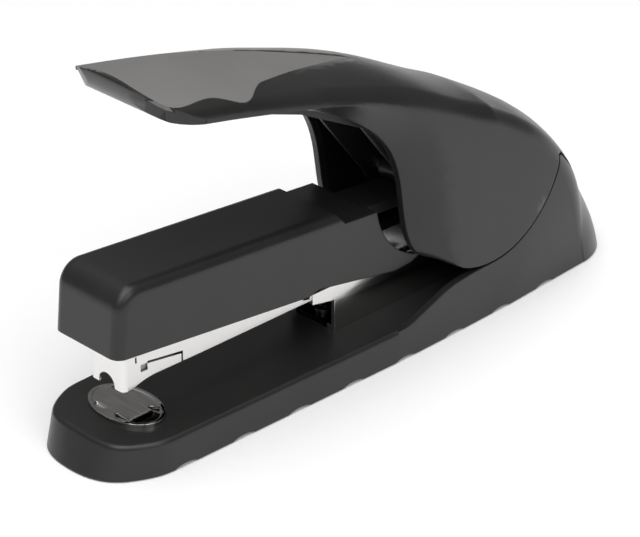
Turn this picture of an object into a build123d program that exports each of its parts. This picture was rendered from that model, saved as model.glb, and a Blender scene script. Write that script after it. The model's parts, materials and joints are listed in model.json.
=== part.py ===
"""Desktop stapler: long base, raised handle, and a pressed head with a front-loading staple tray.

Millimetres. X runs from the nose (minus) to the tail (plus), Y across, Z up from the table.
"""

import math
import os

from build123d import *

os.makedirs("parts", exist_ok=True)

# Driving dimensions: base
base_length = 230.0
base_half = 25.0
nose_half = 23.4
nose_length = 29.5
nose_draft = 4.8
deck_height = 11.5
skirt_lift = 0.4
base_wall = 2.6
deck_wall = 2.5
rim_round = 1.6
rib_wall = 2.0
notch_count = 8
notch_pitch = 23.0
notch_width = 9.0
notch_depth = 0.9
first_notch = 26.5
sole_thickness = 2.4
sole_gap = 0.4

# Driving dimensions: handle and its pivot
pivot_x = 44.0
pivot_z = 54.0
cheek_radius = 34.0
leg_half = 19.6
seam_gap = 0.6
handle_wall = 2.4
handle_lip = 9.0
handle_bow = 8.5
handle_corner = 10.0
handle_undercut = 0.45
leg_roll = 2.6
grip_depth = 1.2
grip_gap = 0.12
grip_margin = 1.8

# Driving dimensions: head and magazine
throat = 12.5
tray_setback = 16.3
tray_half = 7.5
tray_wall = 0.9
tray_height = 12.0
tray_length = 112.7
tray_foot = 1.7
slit_width = 0.6
carrier_wall = 0.8
cover_half = 14.5
cover_wall = 1.9
low_roof_wall = 1.2
low_roof_gap = 0.45
head_axle_radius = 2.5
head_axle_setback = 35.0
striker_travel = 13.0

# Driving dimensions: steel work and axles
frame_wall = 1.4
lever_wall = 1.4
arm_wall = 1.2
handle_axle_radius = 3.0
bush_radius = 4.0
bush_reach = 18.2
clip_wall = 0.8

# Driving dimensions: anvil
anvil_setback = 23.5
anvil_length = 18.4
anvil_width = 28.6
anvil_wall = 1.3
anvil_stem_radius = 4.0
groove_offset = 5.0

# Named clearances
slide_gap = 0.25
plate_gap = 0.35
run_gap = 0.05
fit_gap = 0.02
contact_gap = 0.25
past = 10.0

nose_x = -base_length / 2
tail_x = base_length / 2
joint_x = pivot_x - 44.0
hub_x = tail_x - 70.0
hub_z = -10.0
hub_reach = 4.0

# Crown line of the handle and the rear housing, which share one outer skin:
# x, height, how much narrower than the base, shoulder depth, corner radius
skin_stations = (
    (pivot_x - 156.0, 124.8, 1.0, 9.0, 4.5),
    (pivot_x - 142.0, 122.0, 1.0, 9.0, 4.5),
    (pivot_x - 124.0, 118.4, 0.9, 8.7, 4.7),
    (pivot_x - 104.0, 114.2, 0.8, 8.5, 5.0),
    (pivot_x - 89.0, 110.6, 0.5, 8.7, 5.7),
    (pivot_x - 74.0, 106.7, 0.3, 9.0, 6.5),
    (pivot_x - 59.0, 102.4, 0.1, 9.8, 7.3),
    (joint_x, 97.8, 0.0, 10.5, 8.0),
    (pivot_x - 19.0, 86.7, 0.3, 10.5, 8.0),
    (hub_x, 77.2, 0.8, 10.5, 8.0),
    (hub_x + 14.0, 69.4, 1.0, 10.7, 8.0),
    (tail_x - 44.8, 62.4, 1.2, 11.0, 8.0),
    (tail_x - 27.7, 47.0, 1.8, 12.0, 8.5),
    (tail_x - 15.9, 31.2, 2.6, 15.0, 10.0),
    (tail_x - 6.7, 17.0, 3.2, 19.0, 12.0),
    (tail_x, 0.0, 3.5, 20.0, 14.0),
    (tail_x + 0.5, -8.0, 3.5, 20.0, 14.0),
)


def crown(x):
    """Height of the handle's crown line above the table at x."""
    for (x0, z0, *_), (x1, z1, *_) in zip(skin_stations, skin_stations[1:]):
        if x0 <= x <= x1:
            return z0 + (z1 - z0) * (x - x0) / (x1 - x0)
    return skin_stations[0][1]


def arch_face(plane, foot_half, half, reach, shoulder, corner):
    """Section with straight sides, round corners and a crowned top, all tangent."""
    rise = reach - shoulder
    lean = math.atan2(foot_half - half, rise - hub_reach)
    corner_y = half - corner * math.cos(lean)
    depth = shoulder + corner * math.sin(lean)
    crown_radius = (corner_y**2 + depth**2 - corner**2) / (2 * (depth - corner))
    turn = math.atan2(crown_radius - depth, corner_y)
    middle = (lean + turn) / 2
    meet = (
        corner_y + corner * math.cos(turn),
        reach - depth + corner * math.sin(turn),
    )
    bend = (
        corner_y + corner * math.cos(middle),
        reach - depth + corner * math.sin(middle),
    )
    with BuildSketch(plane) as section:
        with BuildLine():
            Polyline((-half, rise), (-foot_half, hub_reach), (foot_half, hub_reach), (half, rise))
            ThreePointArc((half, rise), bend, meet)
            ThreePointArc(meet, (0, reach), (-meet[0], meet[1]))
            ThreePointArc((-meet[0], meet[1]), (-bend[0], bend[1]), (-half, rise))
        make_face()
    return section.sketch


def skin(inset):
    """The shared skin moved in by inset: upright sections to the hub, then sections fanned round it."""
    upright, fanned = [], []
    for x, z, narrower, shoulder, corner in skin_stations:
        half = base_half - narrower - inset
        if x <= hub_x + 20.0:
            plane = Plane(origin=(x, 0, hub_z), x_dir=(0, 1, 0), z_dir=(1, 0, 0))
            reach = z - hub_z
            upright.append(
                arch_face(plane, half, half, reach - inset, shoulder - inset, corner - inset)
            )
        if x >= hub_x - 20.0:
            reach = math.hypot(x - hub_x, z - hub_z)
            along, up = (x - hub_x) / reach, (z - hub_z) / reach
            plane = Plane(origin=(hub_x, 0, hub_z), x_dir=(0, 1, 0), z_dir=(up, 0, -along))
            foot_half = base_half - 0.8 - inset
            fanned.append(
                arch_face(plane, foot_half, half, reach - inset, shoulder - inset, corner - inset)
            )
    with BuildPart() as front_skin:
        loft(sections=upright)
        split(bisect_by=Plane.YZ.offset(hub_x), keep=Keep.BOTTOM)
    with BuildPart() as rear_skin:
        loft(sections=fanned)
        split(bisect_by=Plane.YZ.offset(hub_x), keep=Keep.TOP)
    with BuildPart() as whole_skin:
        add(front_skin.part)
        add(rear_skin.part)
    return whole_skin.part


outer_skin = skin(0)
housing_hollow = skin(base_wall)
handle_hollow = skin(handle_wall)
grip_floor = skin(grip_depth)

# Levels and layers of the head, from the deck up and from the middle out
tray_bottom = deck_height + throat
tray_top = tray_bottom + tray_height
tray_front = nose_x + tray_setback
tray_rear = tray_front + tray_length
tray_inner = tray_half - tray_wall
carrier_inner = tray_half + slide_gap
carrier_half = carrier_inner + carrier_wall
frame_inner = carrier_half + plate_gap
frame_half = frame_inner + frame_wall
lever_inner = frame_half + plate_gap
lever_half = lever_inner + lever_wall
cover_inner = cover_half - cover_wall
arm_half = carrier_inner - 0.5
arm_inner = arm_half - arm_wall
carrier_low = tray_bottom - slide_gap - carrier_wall
carrier_ceiling = tray_top + 1.3
carrier_top = carrier_ceiling + carrier_wall
core_half = tray_inner - 1.0
core_wall = 0.7
core_low = tray_bottom + 1.2
core_top = tray_top - 2.0
core_front = tray_front + 3.5
rod_z = tray_bottom + 5.0
rod_radius = 1.2
head_axle_x = tail_x - head_axle_setback
head_axle_z = tray_bottom + 5.0
driver_front = tray_front + tray_wall + 1.5
driver_wall = 0.8
web_wall = 1.5
frame_floor = deck_height + web_wall
sleeve_front = pivot_x - 64.0
sleeve_rear = pivot_x - 20.0
block_front = sleeve_rear - 8.0
deck_under = deck_height - deck_wall


def arm_low(x):
    """Lower edge of the striker arm, which clears the carrier by the striker's travel."""
    return carrier_top + 0.6 + striker_travel * (head_axle_x - x) / (head_axle_x - driver_front)


def arm_top(x):
    """Upper face of the striker arm."""
    return arm_low(x) + 3.6


def lever_top(x):
    """Upper face of the handle lever, a fixed depth under the crown."""
    return crown(x) - lever_drop


def lever_plane(x):
    """Plane on the lever's upper face at x."""
    slope = lever_top(x - 0.5) - lever_top(x + 0.5)
    return Plane(origin=(x, 0, lever_top(x)), x_dir=(0, 1, 0), z_dir=(slope, 0, 1))


def around_pivot(radius, degrees):
    """Point at a radius and angle from the handle's pivot, in the side view."""
    angle = math.radians(degrees)
    return (pivot_x + radius * math.cos(angle), pivot_z + radius * math.sin(angle))


lever_drop = 6.5
lever_front = pivot_x - 100.0
lever_screw_xs = (pivot_x - 84.0, pivot_x - 52.0)
lever_xs = [lever_front] + [x for x, *_ in skin_stations if lever_front < x < pivot_x - 10.0]
cover_screw_xs = (driver_front + 21.0, driver_front + 51.0)
cover_boss_radius = 3.0
frame_screw_xs = (pivot_x - 53.0, pivot_x - 22.0, pivot_x + 6.0, pivot_x + 28.0)
lift_spring_x = pivot_x - 39.0
striker_spring_x = pivot_x - 74.0
bush_x = pivot_x - bush_reach
bush_z = arm_top(bush_x) + bush_radius + contact_gap
anvil_x = nose_x + anvil_setback
screw_radius = 1.2
rivet_z = arm_top(driver_front) - 3.0
pin_radius = 2.0


def nose_face(z, draft, inset=0.0):
    """Front part of the base in plan at height z, its tip set back by draft, its edge moved in by inset."""
    shoulder = (nose_x + nose_length, nose_half - 0.06 * draft - inset)
    with BuildSketch(Plane.XY.offset(z)) as outline:
        with BuildLine():
            Spline(
                (nose_x + draft + inset, 0),
                (nose_x + 6.3 + 0.5 * draft + 0.75 * inset, nose_half - 6.4 - 0.05 * draft - 0.65 * inset),
                (nose_x + 14.0 + 0.38 * draft + 0.3 * inset, nose_half - 2.0 - 0.02 * draft - 0.95 * inset),
                shoulder,
                tangents=((0, 1), (joint_x - shoulder[0], base_half - inset - shoulder[1])),
            )
            Line(shoulder, (joint_x, base_half - inset))
            Line((joint_x, base_half - inset), (joint_x, 0))
            mirror(about=Plane.XZ)
        make_face()
    return outline.sketch


def plinth_face(inset):
    """Plan of the room under the whole base, inset from the skirt, with a round tail."""
    with BuildSketch() as outline:
        add(nose_face(0, nose_draft, inset))
        Polygon(
            (joint_x - 2.0, -base_half + inset + 0.2),
            (joint_x - 2.0, base_half - inset - 0.2),
            (hub_x + hub_reach, base_half - inset - 1.0),
            (tail_x - 26.0, base_half - inset - 4.0),
            (tail_x - 26.0, -base_half + inset + 4.0),
            (hub_x + hub_reach, -base_half + inset + 1.0),
            align=None,
        )
        with Locations((tail_x - 26.0, 0)):
            Ellipse(26.0 - inset - 4.0, base_half - inset - 4.0)
    return outline.sketch


with BuildPart() as rear_housing:
    add(outer_skin)
    with BuildSketch(Plane.XZ):
        with BuildLine():
            Polyline(
                (joint_x, deck_height),
                (joint_x, skirt_lift),
                (tail_x + past, skirt_lift),
                (tail_x + past, deck_height),
                (tail_x - 4.3, deck_height),
            )
            ThreePointArc(
                (tail_x - 4.3, deck_height),
                (tail_x - 21.5, deck_height + 19.5),
                around_pivot(cheek_radius + seam_gap + 1.6, -13),
            )
            Line(
                around_pivot(cheek_radius + seam_gap + 1.6, -13),
                around_pivot(cheek_radius + seam_gap, -13),
            )
            ThreePointArc(
                around_pivot(cheek_radius + seam_gap, -13),
                around_pivot(cheek_radius + seam_gap, -50),
                around_pivot(cheek_radius + seam_gap, -90),
            )
            Spline(
                around_pivot(cheek_radius + seam_gap, -90),
                (pivot_x - 14.0, deck_height + 7.4),
                (pivot_x - 20.0, deck_height + 6.5),
                (pivot_x - 26.8, deck_height + 4.3),
                (pivot_x - 33.7, deck_height + 1.8),
                (pivot_x - 40.5, deck_height),
                tangents=((-1, 0), (-1, -0.1)),
            )
            Line((pivot_x - 40.5, deck_height), (joint_x, deck_height))
        make_face()
    extrude(amount=base_half + past, both=True, mode=Mode.INTERSECT)

with BuildPart() as housing_room:
    add(housing_hollow)
    with BuildSketch(Plane.XZ):
        Polygon(
            (joint_x, deck_height),
            (tail_x + past, deck_height),
            (tail_x + past, 2 * pivot_z),
            (joint_x, 2 * pivot_z),
            align=None,
        )
    extrude(amount=base_half + past, both=True, mode=Mode.INTERSECT)

with BuildPart() as base_shell:
    loft(sections=[nose_face(skirt_lift, 0), nose_face(deck_height, nose_draft)])
    rim = [edge for edge in edges().filter_by_position(Axis.Z, deck_height, deck_height)
           if edge.center().X < joint_x - 0.1]
    fillet(rim, radius=rim_round)
    add(rear_housing.part)
    add(housing_room.part, mode=Mode.SUBTRACT)
    with BuildSketch():
        add(plinth_face(base_wall))
    extrude(amount=deck_under, mode=Mode.SUBTRACT)
    notch_radius = (notch_width**2 / 4 + notch_depth**2) / (2 * notch_depth)
    with BuildSketch(Plane.XZ):
        with Locations(*[
            (nose_x + first_notch + k * notch_pitch, skirt_lift + notch_depth - notch_radius)
            for k in range(notch_count)
        ]):
            Circle(notch_radius)
    extrude(amount=base_half + past, both=True, mode=Mode.SUBTRACT)
    with BuildSketch(Plane.XY.offset(sole_thickness)) as webs:
        with Locations(*[(nose_x + first_notch + (k + 0.5) * notch_pitch, 0) for k in (1, 2, 6)]):
            Rectangle(rib_wall, 2 * (nose_half - 1.5 * base_wall))
        with Locations(*[(x, 0) for x in frame_screw_xs]):
            Circle(4.0)
    extrude(amount=deck_under - sole_thickness)
    with BuildSketch(Plane.XY.offset(deck_height)):
        with Locations(*[(x, 0) for x in frame_screw_xs]):
            Circle(screw_radius + fit_gap)
    extrude(amount=-6.0, mode=Mode.SUBTRACT)
    with BuildSketch(Plane.XY.offset(deck_height)):
        with Locations((anvil_x, 0)):
            Circle(anvil_stem_radius + run_gap)
    extrude(amount=-past, mode=Mode.SUBTRACT)
base_shell.part.label = "base_shell"
export_step(base_shell.part, "parts/base_shell.step")

with BuildPart() as sole_pad:
    with BuildSketch():
        add(plinth_face(base_wall + sole_gap))
    extrude(amount=sole_thickness)
sole_pad.part.label = "sole_pad"
export_step(sole_pad.part, "parts/sole_pad.step")

with BuildPart() as anvil_plate:
    with BuildSketch(Plane.XY.offset(deck_height)):
        with Locations((anvil_x, 0)):
            Ellipse(anvil_length / 2, anvil_width / 2)
    extrude(amount=anvil_wall)
    top_rim = edges().group_by(Axis.Z)[-1]
    fillet(top_rim, radius=0.5)
    with BuildSketch(Plane.XY.offset(deck_height)):
        with Locations((anvil_x, 0)):
            Circle(anvil_stem_radius)
    extrude(amount=-(deck_wall + clip_wall + 1.6))
    with BuildSketch(Plane.XY.offset(deck_under - 0.3)):
        with Locations((anvil_x, 0)):
            Circle(anvil_stem_radius + 1)
            Circle(anvil_stem_radius - 0.6, mode=Mode.SUBTRACT)
    extrude(amount=-(clip_wall + 2 * fit_gap), mode=Mode.SUBTRACT)
    groove_z = deck_height + anvil_wall + 1.0
    with BuildSketch(Plane.YZ.offset(anvil_x - groove_offset - 1.2)):
        with Locations((4.7, groove_z), (-4.7, groove_z)):
            Ellipse(3.6, 1.6)
    extrude(amount=2.4, mode=Mode.SUBTRACT)
    with BuildSketch(Plane.YZ.offset(anvil_x + groove_offset - 1.2)):
        with Locations((8.8, groove_z), (-8.8, groove_z)):
            Ellipse(3.0, 1.6)
    extrude(amount=2.4, mode=Mode.SUBTRACT)
anvil_plate.part.label = "anvil_plate"
export_step(anvil_plate.part, "parts/anvil_plate.step")

with BuildPart() as anvil_clip:
    with BuildSketch(Plane.XY.offset(deck_under - 0.3 - fit_gap)):
        with Locations((anvil_x, 0)):
            Circle(anvil_stem_radius + 2.0)
            Circle(anvil_stem_radius - 0.6 + fit_gap, mode=Mode.SUBTRACT)
        with Locations((anvil_x + anvil_stem_radius, 0)):
            Rectangle(2 * anvil_stem_radius, 3.0, mode=Mode.SUBTRACT)
    extrude(amount=-clip_wall)
anvil_clip.part.label = "anvil_clip"
export_step(anvil_clip.part, "parts/anvil_clip.step")

with BuildPart() as main_frame:
    with BuildSketch(Plane.XZ) as plate:
        Polygon(
            (pivot_x - 58.0, deck_height),
            (head_axle_x + 6.5, deck_height),
            (head_axle_x + 6.5, head_axle_z),
            (head_axle_x - 4.0, head_axle_z + 5.0),
            (pivot_x + 9.0, pivot_z),
            (pivot_x - 8.5, pivot_z - 2.5),
            (pivot_x - 15.0, tray_bottom + 4.0),
            (pivot_x - 67.5, tray_bottom + 4.0),
            (pivot_x - 67.5, tray_bottom + 0.3),
            (pivot_x - 58.0, tray_bottom - 1.5),
            align=None,
        )
        with Locations((pivot_x, pivot_z)):
            Circle(9.0)
        with Locations((head_axle_x, head_axle_z)):
            Circle(6.5)
        with Locations((pivot_x, pivot_z)):
            Circle(handle_axle_radius + fit_gap, mode=Mode.SUBTRACT)
        with Locations((head_axle_x, head_axle_z)):
            Circle(head_axle_radius + fit_gap, mode=Mode.SUBTRACT)
    extrude(amount=frame_half, both=True)
    with BuildSketch(Plane.XZ):
        Polygon(
            (nose_x, frame_floor),
            (tail_x + past, frame_floor),
            (tail_x + past, 2 * pivot_z),
            (nose_x, 2 * pivot_z),
            align=None,
        )
    extrude(amount=frame_inner, both=True, mode=Mode.SUBTRACT)
    with BuildSketch(Plane.XY.offset(frame_floor)):
        with Locations(*[(x, 0) for x in frame_screw_xs]):
            Circle(screw_radius + fit_gap)
    extrude(amount=-web_wall, mode=Mode.SUBTRACT)
main_frame.part.label = "main_frame"
export_step(main_frame.part, "parts/main_frame.step")

with BuildPart() as frame_screws:
    with BuildSketch(Plane.XY.offset(frame_floor)):
        with Locations(*[(x, 0) for x in frame_screw_xs]):
            Circle(2.6)
    extrude(amount=1.3)
    with BuildSketch(Plane.XY.offset(frame_floor)):
        with Locations(*[(x, 0) for x in frame_screw_xs]):
            Circle(screw_radius)
    extrude(amount=-(web_wall + 5.5))
    with BuildSketch(Plane.XY.offset(frame_floor + 1.3)):
        with Locations(*[(x, 0) for x in frame_screw_xs]):
            Rectangle(2.6, 0.7)
            Rectangle(0.7, 2.6)
    extrude(amount=-0.7, mode=Mode.SUBTRACT)
frame_screws.part.label = "frame_screws"
export_step(frame_screws.part, "parts/frame_screws.step")

lever_clip_y = lever_half + 0.3
handle_axle_half = lever_clip_y + clip_wall + 0.8
with BuildPart() as handle_axle:
    with BuildSketch(Plane.XZ):
        with Locations((pivot_x, pivot_z)):
            Circle(handle_axle_radius)
    extrude(amount=handle_axle_half, both=True)
    for side in (-1, 1):
        with BuildSketch(Plane.XZ.offset(side * (lever_clip_y - fit_gap))):
            with Locations((pivot_x, pivot_z)):
                Circle(handle_axle_radius + 1)
                Circle(handle_axle_radius - 0.5, mode=Mode.SUBTRACT)
        extrude(amount=side * (clip_wall + 2 * fit_gap), mode=Mode.SUBTRACT)
handle_axle.part.label = "handle_axle"
export_step(handle_axle.part, "parts/handle_axle.step")

with BuildPart() as handle_axle_clips:
    for side in (-1, 1):
        with BuildSketch(Plane.XZ.offset(side * lever_clip_y)):
            with Locations((pivot_x, pivot_z)):
                Circle(handle_axle_radius + 1.8)
                Circle(handle_axle_radius - 0.5 + fit_gap, mode=Mode.SUBTRACT)
            with Locations((pivot_x, pivot_z - handle_axle_radius)):
                Rectangle(2.4, 2 * handle_axle_radius, mode=Mode.SUBTRACT)
        extrude(amount=side * clip_wall)
handle_axle_clips.part.label = "handle_axle_clips"
export_step(handle_axle_clips.part, "parts/handle_axle_clips.step")

frame_clip_y = frame_half + 0.1
head_axle_half = frame_clip_y + clip_wall + 0.8
with BuildPart() as head_axle:
    with BuildSketch(Plane.XZ):
        with Locations((head_axle_x, head_axle_z)):
            Circle(head_axle_radius)
    extrude(amount=head_axle_half, both=True)
    for side in (-1, 1):
        with BuildSketch(Plane.XZ.offset(side * (frame_clip_y - fit_gap))):
            with Locations((head_axle_x, head_axle_z)):
                Circle(head_axle_radius + 1)
                Circle(head_axle_radius - 0.5, mode=Mode.SUBTRACT)
        extrude(amount=side * (clip_wall + 2 * fit_gap), mode=Mode.SUBTRACT)
head_axle.part.label = "head_axle"
export_step(head_axle.part, "parts/head_axle.step")

with BuildPart() as head_axle_clips:
    for side in (-1, 1):
        with BuildSketch(Plane.XZ.offset(side * frame_clip_y)):
            with Locations((head_axle_x, head_axle_z)):
                Circle(head_axle_radius + 1.8)
                Circle(head_axle_radius - 0.5 + fit_gap, mode=Mode.SUBTRACT)
            with Locations((head_axle_x, head_axle_z - head_axle_radius)):
                Rectangle(2.2, 2 * head_axle_radius, mode=Mode.SUBTRACT)
        extrude(amount=side * clip_wall)
head_axle_clips.part.label = "head_axle_clips"
export_step(head_axle_clips.part, "parts/head_axle_clips.step")

handle_front = pivot_x - 139.0
lip_x = handle_front + 8.0
lip_z = crown(handle_front) - 11.2


def grip_face(gap):
    """Outline of the grip insert in plan, grown by gap: wide at the front, tapering to a point."""
    tip_x = pivot_x - 40.0
    taper = (pivot_x - 84.7, 12.9 + gap)
    side = base_half - grip_margin + gap
    with BuildSketch(Plane.XY.offset(crown(tip_x) / 2)) as outline:
        with BuildLine():
            Spline(
                (handle_front + 2.0 - gap, 0),
                (handle_front + 3.2 - gap, side - 8.2),
                (handle_front + 6.5, side - 3.2),
                (handle_front + 12.0, side - 2.5),
                (handle_front + 18.0, side - 3.6),
                (handle_front + 24.5, side - 3.6),
                (handle_front + 28.0, side - 2.0),
                (handle_front + 32.0, side - 0.7),
                (handle_front + 35.7, side - 1.3),
                (handle_front + 40.0, side - 4.3),
                (handle_front + 43.8, side - 6.9),
                taper,
                tangents=((0, 1), (tip_x - taper[0], -taper[1])),
            )
            Line(taper, (tip_x + 3.5 * gap, 0))
            mirror(about=Plane.XZ)
        make_face()
    return outline.sketch


with BuildPart() as grip_pocket:
    add(outer_skin)
    with BuildSketch(Plane.XY.offset(crown(pivot_x - 40.0) / 2)):
        add(grip_face(grip_gap))
    extrude(amount=2 * pivot_z, mode=Mode.INTERSECT)
    add(grip_floor, mode=Mode.SUBTRACT)


def leg_line(turn_in, ahead):
    """Points down the front edge of a handle leg, from the lip to the cheek's round foot.

    turn_in runs from 0 on the leg's inner edge to 1 where its rounded edge meets the flat of the cheek.
    """
    inner = (
        (-102.0, 50.8),
        (-73.6, 41.5),
        (-55.6, 31.0),
        (-43.0, 18.0),
        (-38.9, 7.5),
        (-37.2, -2.4),
        (-35.0, -13.0),
        (-29.8, -22.0),
    )
    outer = (
        (-102.0, 50.8),
        (-70.0, 44.5),
        (-46.0, 37.0),
        (-30.0, 25.0),
        (-22.5, 11.0),
        (-20.5, 0.0),
        (-19.5, -11.0),
        (-17.5, -21.5),
    )
    return [
        (pivot_x + x0 + (x1 - x0) * turn_in - ahead, pivot_z + z0 + (z1 - z0) * turn_in - ahead / 2)
        for (x0, z0), (x1, z1) in zip(inner, outer)
    ]


def handle_side(y, turn_in):
    """Side view of the handle on the plane at y, above the seams that part it from the base."""
    foot = 235 + 15 * turn_in
    foot_heading = (-math.sin(math.radians(foot)), math.cos(math.radians(foot)))
    with BuildSketch(Plane.XZ.offset(-y)) as side_view:
        with BuildLine():
            Spline(
                (lip_x, lip_z),
                *leg_line(turn_in, 0),
                around_pivot(cheek_radius, foot),
                tangents=((1, -0.15), foot_heading),
            )
            ThreePointArc(
                around_pivot(cheek_radius, foot),
                around_pivot(cheek_radius, 290),
                around_pivot(cheek_radius, 348),
            )
            Line(around_pivot(cheek_radius, 348), around_pivot(cheek_radius + 2 * seam_gap + 1.6, 348))
            ThreePointArc(
                around_pivot(cheek_radius + 2 * seam_gap + 1.6, 348),
                (tail_x - 21.5 + 0.75 * seam_gap, deck_height + 19.5 + 0.66 * seam_gap),
                (tail_x - 4.3 + 0.9 * seam_gap, deck_height + seam_gap),
            )
            Polyline(
                (tail_x - 4.3 + 0.9 * seam_gap, deck_height + seam_gap),
                (tail_x + past, deck_height + seam_gap),
                (tail_x + past, 3 * pivot_z),
                (handle_front, 3 * pivot_z),
                (handle_front, crown(handle_front) + 2.0),
            )
            ThreePointArc(
                (handle_front, crown(handle_front) + 2.0),
                (handle_front + 2.4, lip_z + 4.7),
                (lip_x, lip_z),
            )
        make_face()
    return side_view.sketch


def handle_inside(y, turn_in, ahead):
    """Side view of the room inside the handle on the plane at y, ahead of the legs' front edges or behind."""
    line = leg_line(turn_in, ahead)
    with BuildSketch(Plane.XZ.offset(-y)) as side_view:
        with BuildLine():
            Spline((lip_x + handle_lip - 5.0, lip_z), *line, tangents=((1, -0.3), (0.5, -1)))
            Polyline(
                line[-1],
                (line[-1][0], 0),
                (tail_x + past, 0),
                (tail_x + past, 3 * pivot_z),
                (lip_x + handle_lip - 5.0, 3 * pivot_z),
                (lip_x + handle_lip - 5.0, lip_z),
            )
        make_face()
    return side_view.sketch


with BuildPart() as handle_form:
    with BuildSketch(Plane.XZ):
        add(handle_side(0, 0))
    extrude(amount=leg_half, both=True)
    for side in (-1, 1):
        loft(sections=[
            handle_side(side * leg_half, 0),
            handle_side(side * (leg_half + leg_roll), 0.35),
            handle_side(side * (base_half + 0.4), 1),
        ])

room_half = leg_half - handle_wall
with BuildPart() as room_form:
    with BuildSketch(Plane.XZ):
        add(handle_inside(0, 0, 6.0))
    extrude(amount=room_half, both=True)
    for side in (-1, 1):
        loft(sections=[
            handle_inside(side * room_half, 0, -handle_wall),
            handle_inside(side * (room_half + leg_roll), 0.35, -handle_wall),
            handle_inside(side * (base_half + 0.4 - handle_wall), 1, -handle_wall),
        ])

with BuildPart() as handle_room:
    add(handle_hollow)
    add(room_form.part, mode=Mode.INTERSECT)

with BuildPart() as handle_shell:
    add(outer_skin)
    add(handle_form.part, mode=Mode.INTERSECT)
    with BuildSketch(Plane.XY.offset(crown(handle_front) - 4.0)) as plan:
        with BuildLine():
            ThreePointArc(
                (handle_front + handle_bow, -base_half + 1.0),
                (handle_front, 0),
                (handle_front + handle_bow, base_half - 1.0),
            )
            Polyline(
                (handle_front + handle_bow, base_half - 1.0),
                (handle_front + 20.0, base_half - 0.9),
                (handle_front + 40.0, base_half + past),
                (tail_x + past, base_half + past),
                (tail_x + past, -base_half - past),
                (handle_front + 40.0, -base_half - past),
                (handle_front + 20.0, -base_half + 0.9),
                (handle_front + handle_bow, -base_half + 1.0),
            )
        make_face()
        fillet(plan.vertices().group_by(Axis.X)[0], radius=handle_corner)
    extrude(amount=2.4 * pivot_z, dir=(-handle_undercut, 0, 1), both=True, mode=Mode.INTERSECT)
    add(handle_room.part, mode=Mode.SUBTRACT)
    add(grip_pocket.part, mode=Mode.SUBTRACT)
    with BuildSketch(*[lever_plane(x) for x in lever_screw_xs]):
        Circle(4.0)
    extrude(amount=lever_drop - handle_wall + 0.4)
    with BuildSketch(*[lever_plane(x) for x in lever_screw_xs]):
        Circle(screw_radius + fit_gap)
    extrude(amount=3.4, mode=Mode.SUBTRACT)
handle_shell.part.label = "handle_shell"
export_step(handle_shell.part, "parts/handle_shell.step")

with BuildPart() as grip_insert:
    add(outer_skin)
    with BuildSketch(Plane.XY.offset(crown(pivot_x - 40.0) / 2)):
        add(grip_face(0))
    extrude(amount=2 * pivot_z, mode=Mode.INTERSECT)
    add(grip_floor, mode=Mode.SUBTRACT)
grip_insert.part.label = "grip_insert"
export_step(grip_insert.part, "parts/grip_insert.step")

with BuildPart() as handle_lever:
    with BuildSketch(Plane.XZ):
        Polygon(
            *[(x, lever_top(x)) for x in lever_xs],
            (pivot_x + 4.0, pivot_z + 7.5),
            (pivot_x + 7.0, pivot_z - 4.5),
            (bush_x, bush_z - 6.0),
            (bush_x - 5.5, bush_z - 2.0),
            (pivot_x - 48.0, lever_top(joint_x) - 12.0),
            (pivot_x - 74.0, lever_top(pivot_x - 74.0) - 8.0),
            (lever_front, lever_top(lever_front) - 6.0),
            align=None,
        )
        with Locations((pivot_x, pivot_z)):
            Circle(8.5)
        with Locations((bush_x, bush_z)):
            Circle(6.0)
        with Locations((pivot_x, pivot_z)):
            Circle(handle_axle_radius + run_gap, mode=Mode.SUBTRACT)
        with Locations((bush_x, bush_z)):
            Circle(pin_radius + fit_gap, mode=Mode.SUBTRACT)
    extrude(amount=lever_half, both=True)
    with BuildSketch(Plane.XZ):
        Polygon(
            (lever_front - past, lever_top(lever_front) - lever_wall),
            *[(x, lever_top(x) - lever_wall) for x in lever_xs],
            (lever_xs[-1], 2 * pivot_z),
            (tail_x, 2 * pivot_z),
            (tail_x, 0),
            (lever_front - past, 0),
            align=None,
        )
    extrude(amount=lever_inner, both=True, mode=Mode.SUBTRACT)
    with BuildSketch(*[lever_plane(x) for x in lever_screw_xs]):
        Circle(screw_radius + fit_gap)
    extrude(amount=-2 * lever_wall, mode=Mode.SUBTRACT)
handle_lever.part.label = "handle_lever"
export_step(handle_lever.part, "parts/handle_lever.step")

with BuildPart() as lever_screws:
    with BuildSketch(*[lever_plane(x).offset(-lever_wall - fit_gap) for x in lever_screw_xs]):
        Circle(2.6)
    extrude(amount=-1.4)
    with BuildSketch(*[lever_plane(x).offset(-lever_wall - fit_gap) for x in lever_screw_xs]):
        Circle(screw_radius)
    extrude(amount=lever_wall + fit_gap + 3.0)
lever_screws.part.label = "lever_screws"
export_step(lever_screws.part, "parts/lever_screws.step")

with BuildPart() as press_pin:
    with BuildSketch(Plane.XZ):
        with Locations((bush_x, bush_z)):
            Circle(pin_radius)
    extrude(amount=lever_half + 0.3, both=True)
press_pin.part.label = "press_pin"
export_step(press_pin.part, "parts/press_pin.step")

with BuildPart() as press_bush:
    with BuildSketch(Plane.XZ):
        with Locations((bush_x, bush_z)):
            Circle(bush_radius)
            Circle(pin_radius + fit_gap, mode=Mode.SUBTRACT)
    extrude(amount=arm_half - 1.0, both=True)
press_bush.part.label = "press_bush"
export_step(press_bush.part, "parts/press_bush.step")

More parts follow.
